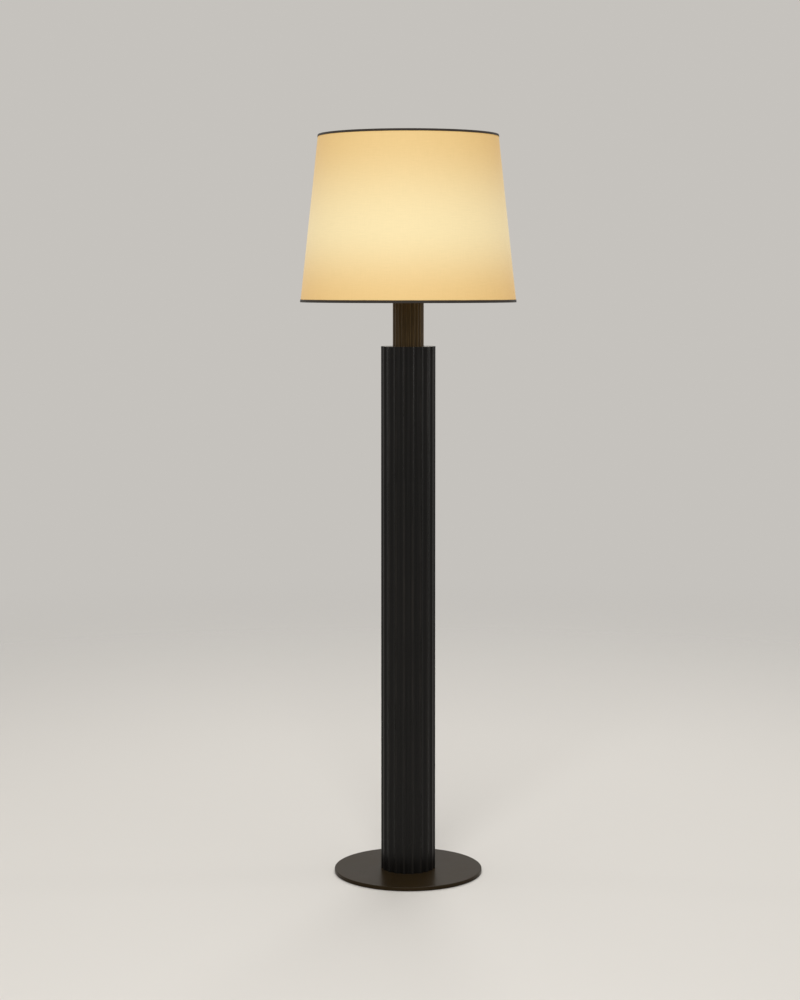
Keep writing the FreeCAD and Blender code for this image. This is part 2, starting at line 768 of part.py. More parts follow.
def nipple_nuts():
    """One nut under the web of the end cap and one on top of it."""
    body = node("nipple_nuts", f"{WEB_BOTTOM} - dims.nut_thick", compound=True)
    above = "dims.nut_thick + dims.end_cap_web + dims.end_cap_flange"
    for name, lift in (("lower", "0"), ("upper", above)):
        drawn = sketch(body, f"{name}_section", lift=lift)
        hexagon(drawn, "dims.nut_flats")
        circle(drawn, "dims.nipple_dia + 2 * dims.seat_gap")
        pad(body, f"{name}_nut", drawn, "dims.nut_thick")


# ---------------------------------------------------------------------------------------------
# Lampholder and its turn switch


def lampholder_cap():
    body = node("lampholder_cap", HOLDER_BASE)
    bore = "dims.nipple_dia / 2 + dims.seat_gap"
    neck = "dims.neck_dia / 2"
    outer = "dims.holder_dia / 2"
    inner = f"{SKIRT_BORE} / 2"
    inner_neck = f"{neck} - dims.holder_wall"
    turned(
        body,
        "shell",
        [
            (bore, "0"),
            (neck, "0"),
            (neck, "dims.neck_height"),
            (outer, DOME_TOP),
            (outer, SKIRT_TOP),
            (inner, SKIRT_TOP),
            (inner, f"{DOME_TOP} + dims.holder_wall"),
            (inner_neck, "dims.neck_height + dims.holder_wall"),
            (bore, "dims.neck_height + dims.holder_wall"),
        ],
    )
    window = sketch(body, "window_section", "YZ_Plane")
    circle(window, "dims.spindle_dia + 2 * dims.knob_gap", y=f"{CORE_BOTTOM} + dims.spindle_rise")
    pocket(body, "spindle_window", window, reverse=True)


def lampholder_core():
    """The porcelain body that holds the switch and the contacts, standing on three low feet."""
    body = node("lampholder_core", f"{HOLDER_BASE} + {CORE_BOTTOM}")
    diameter = f"({SHELL_BORE} - 2 * dims.seat_gap)"
    drawn = sketch(body, "block_section")
    circle(drawn, diameter)
    pad(body, "block", drawn, "dims.core_height")
    foot = sketch(body, "foot_section")
    circle(foot, "dims.core_foot_dia", x=f"({SKIRT_BORE} - dims.core_foot_dia) / 2 - dims.core_foot_inset")
    leg = pad(body, "foot", foot, "dims.core_foot - dims.holder_wall", reverse=True)
    around(body, "feet", [leg], "dims.core_feet")
    lead = sketch(body, "lead_section")
    circle(lead, "dims.lead_hole_dia", x="-dims.lead_hole_offset")
    circle(lead, "dims.lead_hole_dia", y="-dims.lead_hole_offset")
    pocket(body, "lead_holes", lead, reverse=True)
    socket = sketch(body, "spindle_section", "YZ_Plane", lift=f"{diameter} / 2 - dims.spindle_depth")
    circle(socket, "dims.spindle_dia + 2 * dims.spindle_gap", y="dims.spindle_rise")
    pocket(body, "spindle_bore", socket, reverse=True)


def lampholder_shell():
    """The outer shell. The shade rings screw on to its upper part."""
    body = node("lampholder_shell", f"{HOLDER_BASE} + {SKIRT_TOP}")
    spigot = f"{SKIRT_BORE} / 2 - dims.seat_gap"
    bore = f"{SHELL_BORE} / 2"
    outer = f"{THREAD_DIA} / 2"
    mouth = f"{bore} - dims.mouth_lip"
    turned(
        body,
        "shell",
        [
            (bore, "-dims.shell_spigot"),
            (spigot, "-dims.shell_spigot"),
            (spigot, "0"),
            (outer, "0"),
            (outer, "dims.shell_height"),
            (mouth, "dims.shell_height"),
            (mouth, "dims.shell_height - dims.holder_wall"),
            (bore, "dims.shell_height - dims.holder_wall"),
        ],
    )


def lampholder_liner():
    """An insulating sleeve between the shell and the screw sleeve."""
    body = node("lampholder_liner", f"{HOLDER_BASE} + {CORE_TOP}")
    outer = f"{SHELL_BORE} - 2 * dims.seat_gap"
    length = f"{SKIRT_TOP} + dims.shell_height - dims.holder_wall - {CORE_TOP} - dims.seat_gap"
    tube(body, "sleeve", outer, f"{outer} - 2 * dims.liner_thick", length)


def screw_sleeve():
    """The brass sleeve that the bulb screws into, on a foot ring that rests on the core."""
    body = node("screw_sleeve", f"{HOLDER_BASE} + {CORE_TOP}")
    outer = "dims.sleeve_dia / 2"
    inner = f"{outer} - dims.sleeve_metal"
    foot = f"{inner} - dims.sleeve_foot"
    turned(
        body,
        "sleeve",
        [
            (foot, "0"),
            (outer, "0"),
            (outer, "dims.sleeve_height"),
            (inner, "dims.sleeve_height"),
            (inner, "dims.sleeve_metal"),
            (foot, "dims.sleeve_metal"),
        ],
    )


def centre_contact():
    """A sprung brass tab: a foot on the core and a raised tip under the bulb."""
    body = node("centre_contact", f"{HOLDER_BASE} + {CORE_TOP}")
    half = "dims.contact_dia / 2"
    metal = "dims.sleeve_metal"
    height = "dims.contact_height"
    drawn = sketch(body, "tab_profile", "XZ_Plane")
    outline(
        drawn,
        [
            (f"-{half}", "0"),
            ("0", "0"),
            (half, f"{height} - {metal}"),
            (half, height),
            (f"-{half} / 2", height),
            (f"-{half} / 2", f"{height} - {metal}"),
            ("0", f"{height} - {metal}"),
            (f"-{metal}", metal),
            (f"-{half}", metal),
        ],
    )
    pad(body, "tab", drawn, half, middle=True)


def switch_node(label):
    """A body whose local Z runs outwards along the spindle, towards +X."""
    body = node(label, SPINDLE_LEVEL)
    body.Placement = Placement(Vector(), Rotation(Vector(0, 1, 0), 90))
    return body


def switch_spindle():
    """The spindle turns in the bore of the lampholder's core."""
    body = switch_node("switch_spindle")
    drawn = sketch(body, "rod_section", lift=f"{SHELL_BORE} / 2 - dims.spindle_depth")
    circle(drawn, "dims.spindle_dia")
    pad(body, "rod", drawn, f"{KNOB_FOOT} + dims.knob_seat - ({SHELL_BORE} / 2 - dims.spindle_depth)")


def switch_knob():
    """A ribbed knob on the spindle, with a blind hole for its end."""
    body = switch_node("switch_knob")
    drawn = sketch(body, "knob_section", lift=KNOB_FOOT)
    circle(drawn, "dims.knob_dia")
    pad(body, "knob", drawn, "dims.knob_length")
    outer_end = f"{KNOB_FOOT} + dims.knob_length"
    dress(body, "Chamfer", "soft_end", "dims.knob_grip_depth", "dims.knob_dia / 2", outer_end)
    grip = sketch(body, "grip_section", lift=KNOB_FOOT)
    circle(grip, "2 * dims.knob_grip_depth", x="dims.knob_dia / 2")
    cut = pocket(body, "grip", grip, reverse=True)
    around(body, "grips", [cut], "dims.knob_grips")
    seat = sketch(body, "seat_section", lift=KNOB_FOOT)
    circle(seat, "dims.spindle_dia + 2 * dims.seat_gap")
    pocket(body, "seat", seat, "dims.knob_seat", reverse=True)


# ---------------------------------------------------------------------------------------------
# Shade


def shade_ring(label, rise):
    """A ring nut with notches in its rim, screwed on the lampholder's shell."""
    body = node(label, rise)
    tube(body, "ring", "dims.ring_dia", f"{THREAD_DIA} + 2 * dims.seat_gap", "dims.ring_thick")
    notch = sketch(body, "notch_section")
    circle(notch, "dims.ring_notch_dia", x="dims.ring_dia / 2 + dims.ring_notch_dia / 4")
    cut = pocket(body, "notch", notch, reverse=True)
    around(body, "notches", [cut], "dims.ring_notches")


def shade_radius(rise, inset="0"):
    """The cover's outer radius at a height above the shade's lower edge, less an inset."""
    slope = "(dims.shade_bottom_dia - dims.shade_top_dia) / 2 / dims.shade_height"
    return f"(dims.shade_bottom_dia / 2 - {slope} * ({rise}) - ({inset}))"


def wire_hoop(body, name, radius, height):
    drawn = sketch(body, f"{name}_section", "XZ_Plane")
    circle(drawn, "dims.wire_dia", x=radius, y=height)
    made = feature(body, "Revolution", name, drawn)
    made.ReferenceAxis = (drawn, ["V_Axis"])
    made.Angle = 360


def shade_carrier():
    """The welded wire frame: a flat centre ring, bent arms and the hoop inside the shade's lower edge."""
    body = node("shade_carrier", FITTER_BOTTOM)
    body.Placement = Placement(Vector(), Rotation(Vector(0, 0, 1), 90))
    hoop_radius = shade_radius(BOTTOM_WIRE_RISE, WIRE_INSET)
    hoop_height = f"({BOTTOM_WIRE_RISE} - dims.shade_recess)"
    tube(body, "centre_ring", "dims.fitter_dia", f"{THREAD_DIA} + 2 * dims.seat_gap", "dims.fitter_thick")
    arm = arm_pipe(body, hoop_radius, hoop_height)
    around(body, "arms", [arm], "dims.arm_count")
    wire_hoop(body, "hoop", hoop_radius, hoop_height)


def arm_pipe(body, hoop_radius, hoop_height):
    """One arm: level out of the centre ring, then down in a tangent bend to the hoop."""
    start_x = "(dims.fitter_dia / 2 - dims.arm_dia / 2)"
    start_y = "(dims.fitter_thick / 2)"
    bend_x = "(dims.fitter_dia / 2 + dims.arm_level)"
    slope = f"atan(({start_y} - {hoop_height}) / ({hoop_radius} - {bend_x}))"
    setback = f"(dims.arm_bend * tan({slope} / 2))"
    path = sketch(body, "arm_path", "XZ_Plane")
    level_end = Vector(size(f"{bend_x} - {setback}"), size(start_y), 0)
    drop_start = Vector(
        size(f"{bend_x} + {setback} * cos({slope})"), size(f"{start_y} - {setback} * sin({slope})"), 0
    )
    level = path.addGeometry(Part.LineSegment(Vector(size(start_x), size(start_y), 0), level_end), False)
    centre = Vector(level_end.x, level_end.y - size("dims.arm_bend"), 0)
    bend = path.addGeometry(
        Part.ArcOfCircle(
            Part.Circle(centre, Vector(0, 0, 1), size("dims.arm_bend")),
            math.pi / 2 - math.radians(size(slope)),
            math.pi / 2,
        ),
        False,
    )
    hoop_point = Vector(size(hoop_radius), size(hoop_height), 0)
    drop = path.addGeometry(Part.LineSegment(drop_start, hoop_point), False)
    path.addConstraint(Sketcher.Constraint("Tangent", level, 2, bend, 2))
    path.addConstraint(Sketcher.Constraint("Tangent", bend, 1, drop, 1))
    path.addConstraint(Sketcher.Constraint("Horizontal", level))
    dimension(path, "Radius", (bend,), "dims.arm_bend")
    locate(path, level, 1, start_x, start_y)
    dimension(path, "DistanceX", (-1, 1, level, 2), f"{bend_x} - {setback}")
    locate(path, drop, 2, None, hoop_height)
    section = sketch(body, "arm_section", "YZ_Plane", lift=start_x)
    circle(section, "dims.arm_dia", y=start_y)
    arm = feature(body, "AdditivePipe", "arm", section)
    arm.Spine = (path, ["Edge1", "Edge2", "Edge3"])
    return arm


def top_wire():
    """The hoop that keeps the upper edge of the shade round."""
    body = node("top_wire", SHADE_BOTTOM)
    wire_hoop(body, "hoop", shade_radius(TOP_WIRE_RISE, WIRE_INSET), TOP_WIRE_RISE)


def cone_skin(label, outer_inset, inner_inset):
    """One layer of the shade's wall, between two insets from the cover's outer face."""
    body = node(label, SHADE_BOTTOM)
    top = "dims.shade_height"
    turned(
        body,
        "skin",
        [
            (shade_radius("0", inner_inset), "0"),
            (shade_radius("0", outer_inset), "0"),
            (shade_radius(top, outer_inset), top),
            (shade_radius(top, inner_inset), top),
        ],
    )


def edge_tape(label, edge, inner_end):
    """Tape folded over one edge of the shade: a face outside and a narrow turn under the wire."""
    body = node(label, SHADE_BOTTOM)
    face = "-dims.tape_thick"
    turned(
        body,
        "tape",
        [
            (shade_radius(edge, WIRE_INSET), edge),
            (shade_radius(edge), edge),
            (shade_radius(inner_end), inner_end),
            (shade_radius(inner_end, face), inner_end),
            (shade_radius(edge, face), edge_face(edge, inner_end)),
            (shade_radius(edge, WIRE_INSET), edge_face(edge, inner_end)),
        ],
    )


def edge_face(edge, inner_end):
    """Height of the folded tape's outer face, beyond the edge that it covers."""
    outward = "+" if size(edge) > size(inner_end) else "-"
    return f"({edge}) {outward} dims.tape_thick"


# ---------------------------------------------------------------------------------------------
# Bulb


def bulb_glass():
    """A hollow pear-shaped envelope: a ball that runs into a tangent cone down to the neck."""
    body = node("bulb_glass", BULB_FOOT)
    drawn = sketch(body, "envelope_profile", "XZ_Plane")
    ball = "(dims.bulb_length - dims.bulb_dia / 2)"
    reach = size(ball) - size(NECK_LEVEL)
    radii = ["dims.bulb_dia / 2", "dims.bulb_dia / 2 - dims.bulb_glass"]
    necks = ["dims.bulb_neck_dia / 2", "dims.bulb_neck_dia / 2 - dims.bulb_glass"]
    arcs = []
    lines = []
    for radius, foot in zip(radii, necks):
        r, f = size(radius), size(foot)
        touch = math.acos(r / math.hypot(f, reach)) - math.atan2(reach, f)
        low = Vector(f, size(NECK_LEVEL), 0)
        high = Vector(r * math.cos(touch), size(ball) + r * math.sin(touch), 0)
        sphere = Part.Circle(Vector(0, size(ball), 0), Vector(0, 0, 1), r)
        arc = drawn.addGeometry(Part.ArcOfCircle(sphere, touch, math.pi / 2), False)
        line = drawn.addGeometry(Part.LineSegment(low, high), False)
        drawn.addConstraint(Sketcher.Constraint("Tangent", line, 2, arc, 1))
        dimension(drawn, "Radius", (arc,), radius)
        locate(drawn, arc, 3, "0", ball)
        locate(drawn, line, 1, foot, NECK_LEVEL)
        drawn.addConstraint(Sketcher.Constraint("PointOnObject", arc, 2, -2))
        arcs.append(arc)
        lines.append(line)
    crown = [Vector(0, size(ball) + size(radius), 0) for radius in radii]
    foot_points = [Vector(size(foot), size(NECK_LEVEL), 0) for foot in necks]
    for points, ends, place in ((crown, arcs, 2), (foot_points, lines, 1)):
        join = drawn.addGeometry(Part.LineSegment(*points), False)
        drawn.addConstraint(Sketcher.Constraint("Coincident", join, 1, ends[0], place))
        drawn.addConstraint(Sketcher.Constraint("Coincident", join, 2, ends[1], place))
    made = feature(body, "Revolution", "envelope", drawn)
    made.ReferenceAxis = (drawn, ["V_Axis"])
    made.Angle = 360


def bulb_cap():
    """The bulb's screw cap, with its thread as rounded ribs, and a skirt round the glass neck."""
    body = node("bulb_cap", BULB_FOOT)
    major = "dims.bulb_cap_dia / 2"
    minor = f"{major} - dims.bulb_thread_depth"
    rim_bore = "dims.bulb_neck_dia / 2 + dims.bulb_rim_gap"
    rim = f"{rim_bore} + dims.bulb_rim_wall"
    pitch = "((dims.bulb_cap_height - 2 * dims.bulb_neck_rise) / dims.bulb_threads)"
    rib = ((0.25, minor), (0.5, major), (0.75, major), (1, minor))
    corners = [("0", CAP_FOOT), (f"{minor} - dims.bulb_thread_depth", CAP_FOOT)]
    for turn in range(int(size("dims.bulb_threads"))):
        for share, radius in rib:
            corners.append((radius, f"{CAP_FOOT} + {pitch} * ({turn} + {share})"))
    corners.append((rim, f"{NECK_LEVEL} - dims.bulb_glass"))
    corners.append((rim, CAP_RIM))
    corners.append((rim_bore, CAP_RIM))
    corners.append((rim_bore, NECK_LEVEL))
    corners.append(("0", NECK_LEVEL))
    turned(body, "cap", corners)


def bulb_insulator():
    body = node("bulb_insulator", BULB_FOOT)
    top = "dims.bulb_cap_dia / 2 - 2 * dims.bulb_thread_depth"
    corners = [
        ("0", "dims.bulb_contact_height"),
        ("dims.bulb_insulator_dia / 2", "dims.bulb_contact_height"),
        (top, CAP_FOOT),
        ("0", CAP_FOOT),
    ]
    turned(body, "cone", corners)


def bulb_contact():
    body = node("bulb_contact", BULB_FOOT)
    rim = "dims.bulb_contact_dia / 2"
    corners = [
        ("0", "0"),
        (f"{rim} / 2", "0"),
        (rim, "dims.bulb_contact_height / 2"),
        (rim, "dims.bulb_contact_height"),
        ("0", "dims.bulb_contact_height"),
    ]
    turned(body, "button", corners)


# ---------------------------------------------------------------------------------------------

for build in (
    base_plate,
    floor_pad,
    foot_hub,
    hub_screws,
    lower_column,
    column_screws,
    cord_grommet,
    column_cap,
    guide_bush,
    bush_screws,
    upper_column,
    tube_screws,
    slide_plug,
    glide_ring,
    stop_sleeve,
    end_cap,
    nipple,
    nipple_nuts,
    lampholder_cap,
    lampholder_core,
    lampholder_shell,
    lampholder_liner,
    screw_sleeve,
    centre_contact,
    switch_spindle,
    switch_knob,
    shade_carrier,
    top_wire,
    bulb_glass,
    bulb_cap,
    bulb_insulator,
    bulb_contact,
):
    build()
shade_ring("shade_ring_lower", f"{FITTER_BOTTOM} - dims.ring_thick")
shade_ring("shade_ring_upper", FITTER_TOP)
cone_skin("shade_cover", "0", "dims.cover_thick")
cone_skin("shade_lining", "dims.cover_thick", WALL_INSET)
edge_tape("top_tape", "dims.shade_height", "dims.shade_height - dims.top_tape")
edge_tape("bottom_tape", "0", "dims.bottom_tape")

doc.recompute()
for item in doc.Objects:
    if {"Invalid", "Error"} & set(item.State):
        raise RuntimeError(f"{item.Label} failed: {item.State}")
os.makedirs("parts", exist_ok=True)
for body in built:
    if body.Shape.isNull() or not body.Shape.isValid():
        raise RuntimeError(f"{body.Label} has no valid shape")
    body.Shape.exportStep(f"parts/{body.Label}.step")
    print(f"{body.Label}: {len(body.Shape.Solids)} solids, {body.Shape.Volume:.0f} mm3")
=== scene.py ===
import json
import math

import bmesh
import bpy
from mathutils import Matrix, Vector, noise


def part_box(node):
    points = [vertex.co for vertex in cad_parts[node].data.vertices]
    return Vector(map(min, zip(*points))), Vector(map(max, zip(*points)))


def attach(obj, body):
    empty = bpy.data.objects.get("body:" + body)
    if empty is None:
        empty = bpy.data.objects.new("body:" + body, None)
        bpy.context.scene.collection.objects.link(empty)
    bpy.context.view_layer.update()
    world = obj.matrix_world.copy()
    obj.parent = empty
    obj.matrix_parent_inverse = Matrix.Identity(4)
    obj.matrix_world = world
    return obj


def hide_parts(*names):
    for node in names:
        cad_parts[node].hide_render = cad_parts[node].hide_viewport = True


# The looks of a column floor lamp, in metres, with the lamp lit. -Y is the front.

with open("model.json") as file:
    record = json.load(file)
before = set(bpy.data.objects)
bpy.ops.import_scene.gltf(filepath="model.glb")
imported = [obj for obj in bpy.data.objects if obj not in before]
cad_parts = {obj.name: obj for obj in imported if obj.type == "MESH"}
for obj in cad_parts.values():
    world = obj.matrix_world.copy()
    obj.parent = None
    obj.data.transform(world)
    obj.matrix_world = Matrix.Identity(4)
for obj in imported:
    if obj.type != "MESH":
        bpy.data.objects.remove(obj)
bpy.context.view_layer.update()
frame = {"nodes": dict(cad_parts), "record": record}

MM = 0.001

# ---------------------------------------------------------------------------------------------
# Places taken from the frame

COVER_LOW, COVER_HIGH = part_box("shade_cover")
TAPE_LOW, TAPE_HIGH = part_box("top_tape")
HEM_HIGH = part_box("bottom_tape")[1]
CARRIER_LOW, CARRIER_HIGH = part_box("shade_carrier")
SHELL_LOW, SHELL_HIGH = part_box("lampholder_shell")
BULB_LOW, BULB_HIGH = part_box("bulb_glass")
COLUMN_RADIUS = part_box("lower_column")[1].x
TUBE_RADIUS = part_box("upper_column")[1].x
CAP_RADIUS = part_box("column_cap")[1].x

# Gauges and gaps of the shade, the same as in its solids
COVER_THICK = 0.9 * MM
LINING_THICK = 0.5 * MM
TAPE_THICK = 0.6 * MM
WIRE_RADIUS = 2 * MM
WIRE_GAP = 0.1 * MM

SHADE_BOTTOM, SHADE_TOP = COVER_LOW.z, COVER_HIGH.z
SHADE_HEIGHT = SHADE_TOP - SHADE_BOTTOM
TOP_TAPE = SHADE_TOP - TAPE_LOW.z
BOTTOM_TAPE = HEM_HIGH.z - SHADE_BOTTOM
BOTTOM_RADIUS = COVER_HIGH.x
SHADE_SLANT = (BOTTOM_RADIUS - TAPE_HIGH.x + TAPE_THICK) / (TAPE_LOW.z - SHADE_BOTTOM)
WIRE_INSET = COVER_THICK + LINING_THICK + WIRE_RADIUS + WIRE_GAP
WIRE_RISE = WIRE_RADIUS + WIRE_GAP
BULB_RADIUS = 30 * MM
BULB_CENTRE = BULB_HIGH.z - BULB_RADIUS

# The cloth's two ends overlap by LAP at the rear. Ways round the shade are measured at ROLL_RADIUS.
LAP = 12 * MM
CUT_EDGE = 0.3 * MM
ROLL_RADIUS = 0.2


def shade_radius(height):
    """The cover's outer radius at a height above the floor."""
    return BOTTOM_RADIUS - SHADE_SLANT * (height - SHADE_BOTTOM)


# ---------------------------------------------------------------------------------------------
# Camera, world and lamps

SENSOR = 36
LENS = 76.68
CAMERA_PLACE = (-0.0167, -4.307, 1.2)
CAMERA_DOWN = 2.596
CAMERA_SHIFT = -0.12


def make_camera():
    data = bpy.data.cameras.new("camera")
    data.lens = LENS
    data.sensor_width = SENSOR
    data.shift_y = CAMERA_SHIFT
    camera = bpy.data.objects.new("camera", data)
    bpy.context.scene.collection.objects.link(camera)
    camera.location = CAMERA_PLACE
    camera.rotation_euler = (math.radians(90 - CAMERA_DOWN), 0, 0)
    bpy.context.scene.camera = camera


BACKDROP = (0.56, 0.54, 0.51)
DAYLIGHT = (1.0, 0.985, 0.96)
SKY_STRENGTH = 0.30


def make_world():
    """A soft even sky for the light, and a plain pale backdrop for what sees it."""
    world = bpy.data.worlds.new("studio")
    bpy.context.scene.world = world
    world.use_nodes = True
    tree = world.node_tree
    tree.nodes.clear()

    def background(colour, strength):
        node = tree.nodes.new("ShaderNodeBackground")
        node.inputs["Color"].default_value = (*colour, 1)
        node.inputs["Strength"].default_value = strength
        return node.outputs[0]

    def either(first, second):
        node = tree.nodes.new("ShaderNodeMath")
        node.operation = "MAXIMUM"
        tree.links.new(first, node.inputs[0])
        tree.links.new(second, node.inputs[1])
        return node.outputs[0]

    rays = tree.nodes.new("ShaderNodeLightPath").outputs
    sees = either(either(rays["Is Camera Ray"], rays["Is Glossy Ray"]), rays["Is Transmission Ray"])
    choice = tree.nodes.new("ShaderNodeMixShader")
    tree.links.new(sees, choice.inputs[0])
    tree.links.new(background(DAYLIGHT, SKY_STRENGTH), choice.inputs[1])
    tree.links.new(background(BACKDROP, 1), choice.inputs[2])
    output = tree.nodes.new("ShaderNodeOutputWorld")
    tree.links.new(choice.outputs[0], output.inputs["Surface"])


STRIP_LIGHT = (1.0, 0.97, 0.93)

# name: place, point that it is aimed at, width, height, watts, colour
LAMPS = {
    "key": ((-0.4, -3.8, 2.9), (0, 0, 1.0), 2.2, 1.8, 122, DAYLIGHT),
    "overhead": ((0, 0.4, 4.4), (0, 0.4, 0), 5.0, 5.0, 70, DAYLIGHT),
    "rear": ((0.5, 3.4, 3.3), (0, 0, 1.1), 2.2, 1.8, 60, DAYLIGHT),
    "left_strip": ((-2.4, 0.5, 1.4), (0, 0, 0.9), 0.25, 1.4, 3.5, STRIP_LIGHT),
    "right_strip": ((2.4, 0.3, 1.4), (0, 0, 0.9), 0.25, 1.4, 4.5, STRIP_LIGHT),
}


def make_lamps():
    for name, (place, target, width, height, watts, colour) in LAMPS.items():
        data = bpy.data.lights.new(name, "AREA")
        data.shape = "RECTANGLE"
        data.size = width
        data.size_y = height
        data.energy = watts
        data.color = colour
        lamp = bpy.data.objects.new(name, data)
        bpy.context.scene.collection.objects.link(lamp)
        lamp.location = place
        aim = Vector(target) - Vector(place)
        lamp.rotation_euler = aim.to_track_quat("-Z", "Y").to_euler()


# ---------------------------------------------------------------------------------------------
# Node materials


class Look:
    """A material round one Principled shader. A plain number or colour goes on the shader's own socket."""

    def __init__(self, name, colour, roughness, **sockets):
        self.material = bpy.data.materials.new(name)
        self.material.use_nodes = True
        self.tree = self.material.node_tree
        self.shader = self.tree.nodes["Principled BSDF"]
        self.shader.inputs["Base Color"].default_value = (*colour, 1)
        self.shader.inputs["Roughness"].default_value = roughness
        for socket, value in sockets.items():
            self.shader.inputs[socket.replace("_", " ")].default_value = value

    def add(self, kind, *values, **settings):
        """A node with its first inputs linked or set, in order."""
        node = self.tree.nodes.new(f"ShaderNode{kind}")
        for setting, value in settings.items():
            setattr(node, setting, value)
        for socket, value in zip(node.inputs, values):
            self.put(socket, value)
        return node

    def put(self, socket, value):
        if isinstance(value, bpy.types.NodeSocket):
            self.tree.links.new(value, socket)
        else:
            socket.default_value = value

    def feed(self, socket, output):
        self.tree.links.new(output, self.shader.inputs[socket])

    def maths(self, operation, *values):
        return self.add("Math", *values, operation=operation).outputs[0]

    def weighed(self, first, first_share, second, second_share):
        """Two values added up, each times its share."""
        first_part = self.maths("MULTIPLY", first, first_share)
        second_part = self.maths("MULTIPLY", second, second_share)
        return self.maths("ADD", first_part, second_part)

    def ripple(self, value, pitch):
        return self.maths("SINE", self.maths("MULTIPLY", value, 2 * math.pi / pitch))

    def place(self, stretch=(1, 1, 1)):
        """Object coordinates, which lie in the lamp's own frame, multiplied by stretch."""
        plain = self.add("TexCoord").outputs["Object"]
        return self.add("VectorMath", plain, stretch, operation="MULTIPLY").outputs[0]

    def split(self):
        """The three object coordinates by themselves."""
        return self.add("SeparateXYZ", self.place()).outputs

    def joined(self, x, y, z=0.0):
        return self.add("CombineXYZ", x, y, z).outputs[0]

    def radius(self):
        """Distance from the lamp's upright axis."""
        x, y, _ = self.split()
        squares = self.maths("ADD", self.maths("MULTIPLY", x, x), self.maths("MULTIPLY", y, y))
        return self.maths("SQRT", squares)

    def rolled_out(self):
        """Way round the axis as a length, with its join at the rear, and height."""
        x, y, z = self.split()
        turn = self.maths("ARCTAN2", x, self.maths("MULTIPLY", y, -1))
        return self.maths("MULTIPLY", turn, ROLL_RADIUS), z

    def noise(self, vector, scale, detail=3.0, roughness=0.5):
        node = self.add("TexNoise")
        self.put(node.inputs["Vector"], vector)
        self.put(node.inputs["Scale"], scale)
        self.put(node.inputs["Detail"], detail)
        self.put(node.inputs["Roughness"], roughness)
        return node.outputs["Fac"]

    def rolled_noise(self, stretch, detail=3.0, roughness=0.5):
        """Noise on the rolled-out wall, with so many cells to the metre round it and up it."""
        across, up = self.rolled_out()
        cells_round = self.maths("MULTIPLY", across, stretch[0])
        cells_up = self.maths("MULTIPLY", up, stretch[1])
        return self.noise(self.joined(cells_round, cells_up), 1.0, detail, roughness)

    def spread(self, value, low, high, to_low, to_high, smooth=False):
        node = self.add("MapRange", value, low, high, to_low, to_high)
        node.interpolation_type = "SMOOTHSTEP" if smooth else "LINEAR"
        return node.outputs[0]

    def ramp(self, value, stops):
        """Colours that ease into each other along a value, from pairs of position and colour."""
        node = self.add("ValToRGB", value)
        ramp = node.color_ramp
        ramp.interpolation = "EASE"
        while len(ramp.elements) < len(stops):
            ramp.elements.new(0.5)
        for element, (position, colour) in zip(ramp.elements, stops):
            element.position = position
            element.color = (*colour, 1)
        return node.outputs["Color"]

    def mixed(self, share, first, second, blend="MIX"):
        node = self.add("Mix", data_type="RGBA", blend_type=blend)
        self.put(node.inputs[0], share)
        self.put(node.inputs[6], (*first, 1) if isinstance(first, tuple) else first)
        self.put(node.inputs[7], (*second, 1) if isinstance(second, tuple) else second)
        return node.outputs[2]

    def clouded(self, value, low, high, first, second):
        """The first colour where the value is low and the second where it is high, as the base colour."""
        tone = self.mixed(self.spread(value, low, high, 0, 1), first, second)
        self.feed("Base Color", tone)

    def bump(self, height, distance, strength=1.0):
        node = self.add("Bump")
        self.put(node.inputs["Height"], height)
        self.put(node.inputs["Distance"], distance)
        self.put(node.inputs["Strength"], strength)
        self.feed("Normal", node.outputs["Normal"])


# ---------------------------------------------------------------------------------------------
# Metals, paint, rubber, plastic and porcelain

STREAK_STRETCH = (420, 420, 5)
STREAK_DEPTH = 0.03 * MM
RUBBED_ARRIS = 0.35 * MM
LATHE_PITCH = 0.8 * MM
LATHE_DEPTH = 0.006 * MM
RIM_WIDTH = 1.4 * MM
RIM_BLUR = 0.3 * MM


def drawn_metal(name, colour, streak, worn, roughness, outer_radius, **sockets):
    """A fluted extrusion: fine streaks along its length, and lands with arrises that are rubbed a little."""
    look = Look(name, colour, roughness, **sockets)
    streaks = look.noise(look.place(STREAK_STRETCH), 1.0, detail=4.0, roughness=0.6)
    cloud = look.noise(look.place(), 9.0)
    tone = look.mixed(look.spread(streaks, 0.3, 0.7, 0, 1), colour, streak)
    edge = look.spread(look.radius(), outer_radius - RUBBED_ARRIS, outer_radius, 0, 1, smooth=True)
    patchy = look.maths("MULTIPLY", edge, look.spread(cloud, 0.4, 0.75, 0.1, 0.75))
    look.feed("Base Color", look.mixed(patchy, tone, worn))
    haze = look.weighed(streaks, 0.6, cloud, 0.4)
    look.feed("Roughness", look.spread(haze, 0.3, 0.7, roughness - 0.07, roughness + 0.09))
    look.bump(streaks, STREAK_DEPTH)
    return look.material


def turned_metal(name, colour, dark, roughness, rim=None, **sockets):
    """Turned on a lathe: fine rings and a faint cloud. A rim, where given, is a radius and a colour: from
    that radius out the metal is made lighter, a painted highlight that stands for the bulb's light glinting
    off the outer edge.
    """
    look = Look(name, colour, roughness, **sockets)
    cloud = look.noise(look.place(), 24.0)
    tone = look.mixed(look.spread(cloud, 0.35, 0.7, 0, 1), dark, colour)
    # Painted highlight: from the rim's radius out the cap is made lighter, standing for the lamp's glint off
    # its outer edge.
    if rim:
        start, glint_colour = rim
        tone = look.mixed(look.spread(look.radius(), start, start + RIM_BLUR, 0, 1), tone, glint_colour)
    look.feed("Base Color", tone)
    look.feed("Roughness", look.spread(cloud, 0.3, 0.7, roughness + 0.04, roughness - 0.03))
    look.bump(look.ripple(look.radius(), LATHE_PITCH), LATHE_DEPTH)
    return look.material


